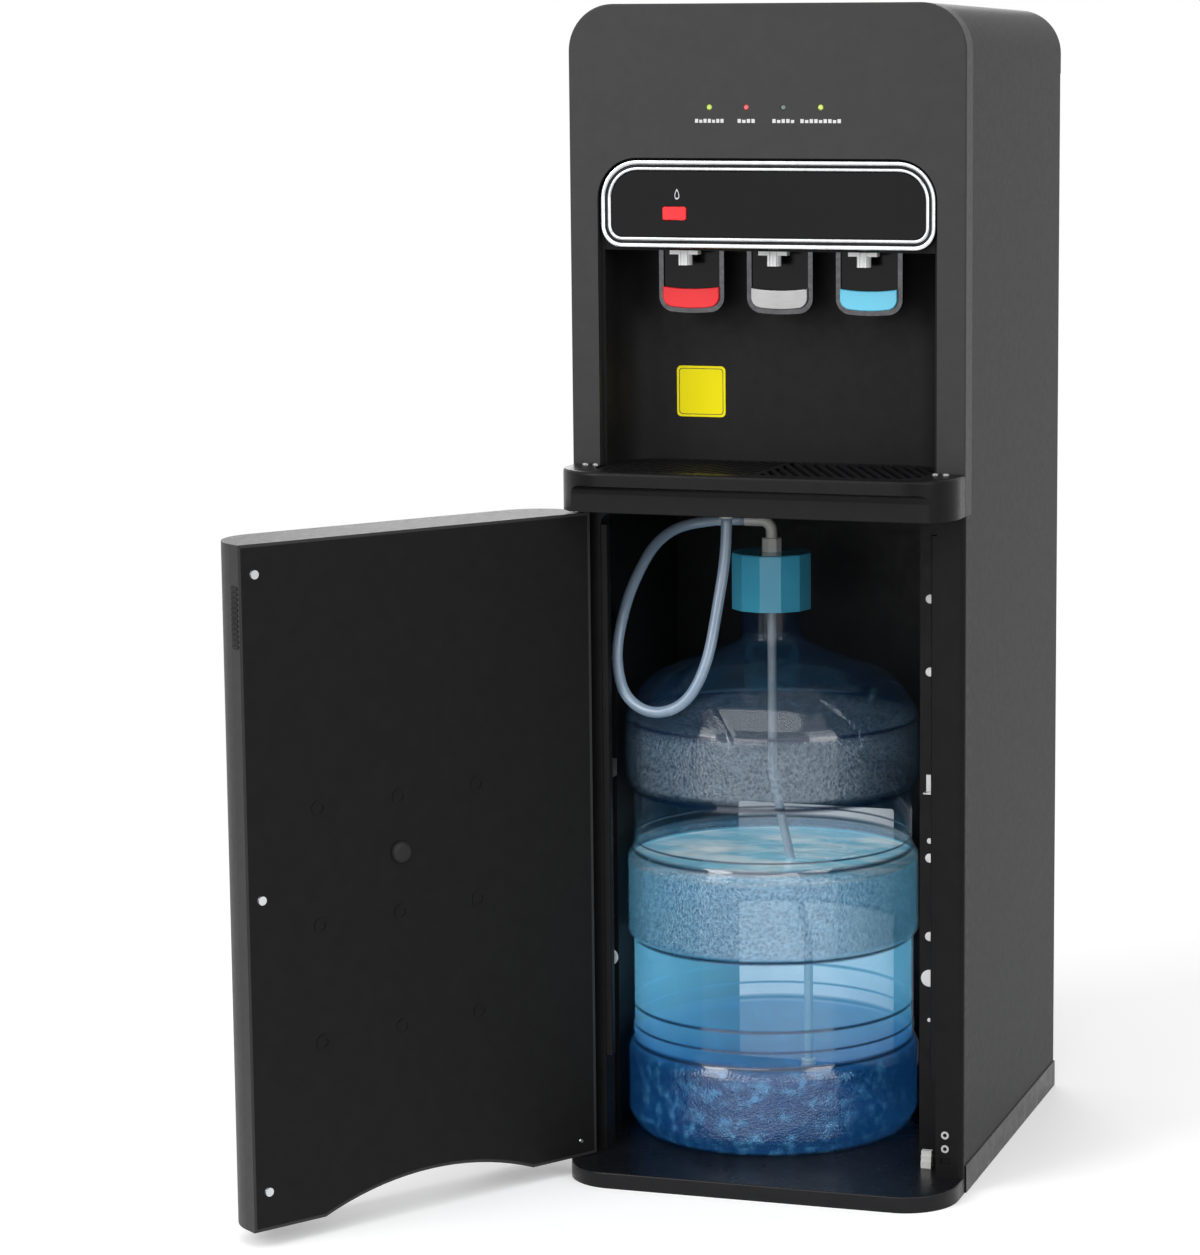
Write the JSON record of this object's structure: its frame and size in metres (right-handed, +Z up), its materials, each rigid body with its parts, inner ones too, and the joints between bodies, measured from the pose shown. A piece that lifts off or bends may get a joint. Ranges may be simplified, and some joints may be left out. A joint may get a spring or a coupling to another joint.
{
  "type": "bottom load water cooler",
  "caption": "Free-standing water cooler with a cup niche, press-in tap paddles, lift-out drip tray and a hinged door over a bottle compartment",
  "frame": {"origin": "on the floor, under the centre of the cabinet", "axes": "X to the right and Y to the back as seen by someone facing the taps, Z up"},
  "size_m": [0.5504, 0.651, 1.005],
  "materials": {
    "black_shell": "fine grained black moulding",
    "grey_sheet": "satin dark grey sheet steel",
    "chrome": "bright plated trim",
    "gloss_black": "polished black panel",
    "lens": "small translucent lamps",
    "red_plastic": "glossy red moulding",
    "blue_plastic": "glossy light blue moulding",
    "brushed_plate": "brushed grey plate",
    "dark_chrome": "dark plated rim",
    "white_plastic": "off-white moulding",
    "bare_steel": "galvanised and plated steel",
    "black_steel": "black painted steel",
    "bottle_blue": "tinted clear plastic",
    "water": "clear water",
    "teal_plastic": "translucent teal moulding",
    "clear_plastic": "clear tubing",
    "soft_hose": "translucent silicone",
    "foam": "insulation foam",
    "black_rubber": "black rubber"
  },
  "bodies": {
    "cabinet": {"base_pan": "black_shell", "floor_plate": "black_shell", "plinth_strips": "black_shell", "side_panel_right": "grey_sheet", "side_panel_left": "grey_sheet", "rear_panel": "grey_sheet", "top_cap": "black_shell", "front_bezel": "black_shell", "indicator_lenses": "lens", "niche_liner": "black_shell", "dispense_head": "black_shell", "paddle_pins": "bare_steel", "taps": "white_plastic", "chrome_frame": "chrome", "control_panel": "gloss_black", "tray_housing": "black_shell", "shoulder_screws": "chrome", "door_frame": "black_shell", "frame_screws": "chrome", "edge_trims": "black_steel", "compartment_back": "black_shell", "compartment_ceiling": "black_shell", "rails": "black_steel", "rail_plugs": "white_plastic", "corner_brackets": "bare_steel", "service_cover": "black_steel", "magnet_catch": "bare_steel", "hinge_pins": "bare_steel", "inlet_fitting": "white_plastic", "hose": "soft_hose", "pump": "white_plastic", "cold_tank": "foam", "hot_tank": "bare_steel", "compressor": "black_steel", "condenser": "black_steel", "switch_housings": "black_shell", "power_inlet": "black_shell", "drain_plug": "black_rubber"},
    "door": {"door_shell": "black_shell", "door_liner": "black_shell", "door_grip": "black_shell", "door_screws": "chrome", "door_bumper": "black_rubber"},
    "bottle": {"bottle": "bottle_blue", "bottle_cap": "teal_plastic", "elbow": "white_plastic", "dip_tube": "clear_plastic", "strainer": "white_plastic", "bottle_water": "water"},
    "drip_tray": {"drip_tray": "black_shell"},
    "drip_grille": {"drip_grille": "black_shell"},
    "paddle_hot": {"paddle_hot": "dark_chrome", "block_hot": "red_plastic"},
    "paddle_room": {"paddle_room": "dark_chrome", "block_room": "brushed_plate"},
    "paddle_cold": {"paddle_cold": "dark_chrome", "block_cold": "blue_plastic"},
    "lock_button": {"lock_button": "red_plastic"},
    "hot_switch": {"hot_switch": "gloss_black"},
    "cold_switch": {"cold_switch": "gloss_black"}
  },
  "joints": [
    {"name": "door_hinge", "type": "hinge", "parent": "cabinet", "child": "door", "pos_m": [-0.165, -0.1895, 0.3], "axis": [0, 0, 1], "range_deg": [0, 124]},
    {"name": "tray_lift", "type": "slide", "parent": "cabinet", "child": "drip_tray", "axis": [0, 0, 1], "range_m": [0, 0.06]},
    {"name": "grille_lift", "type": "slide", "parent": "drip_tray", "child": "drip_grille", "axis": [0, 0, 1], "range_m": [0, 0.03]},
    {"name": "hot_paddle_hinge", "type": "hinge", "parent": "cabinet", "child": "paddle_hot", "pos_m": [-0.0785, -0.1335, 0.807], "axis": [1, 0, 0], "range_deg": [0, 12], "stiffness_Nm_per_rad": 0.05},
    {"name": "room_paddle_hinge", "type": "hinge", "parent": "cabinet", "child": "paddle_room", "pos_m": [0, -0.1335, 0.807], "axis": [1, 0, 0], "range_deg": [0, 12], "stiffness_Nm_per_rad": 0.05},
    {"name": "cold_paddle_hinge", "type": "hinge", "parent": "cabinet", "child": "paddle_cold", "pos_m": [0.0785, -0.1335, 0.807], "axis": [1, 0, 0], "range_deg": [0, 12], "stiffness_Nm_per_rad": 0.05},
    {"name": "lock_button_press", "type": "slide", "parent": "cabinet", "child": "lock_button", "axis": [0, 1, 0], "range_m": [0, 0.002], "stiffness_N_per_m": 400},
    {"name": "bottle_slide", "type": "slide", "parent": "cabinet", "child": "bottle", "axis": [-0.2412, 0.9705, 0], "range_m": [-0.35, 0], "deforming": ["hose"]},
    {"name": "hot_switch_rock", "type": "hinge", "parent": "cabinet", "child": "hot_switch", "pos_m": [0.11, 0.1537, 0.76], "axis": [1, 0, 0], "range_deg": [0, 16]},
    {"name": "cold_switch_rock", "type": "hinge", "parent": "cabinet", "child": "cold_switch", "pos_m": [0.07, 0.1537, 0.76], "axis": [1, 0, 0], "range_deg": [0, 16]}
  ]
}
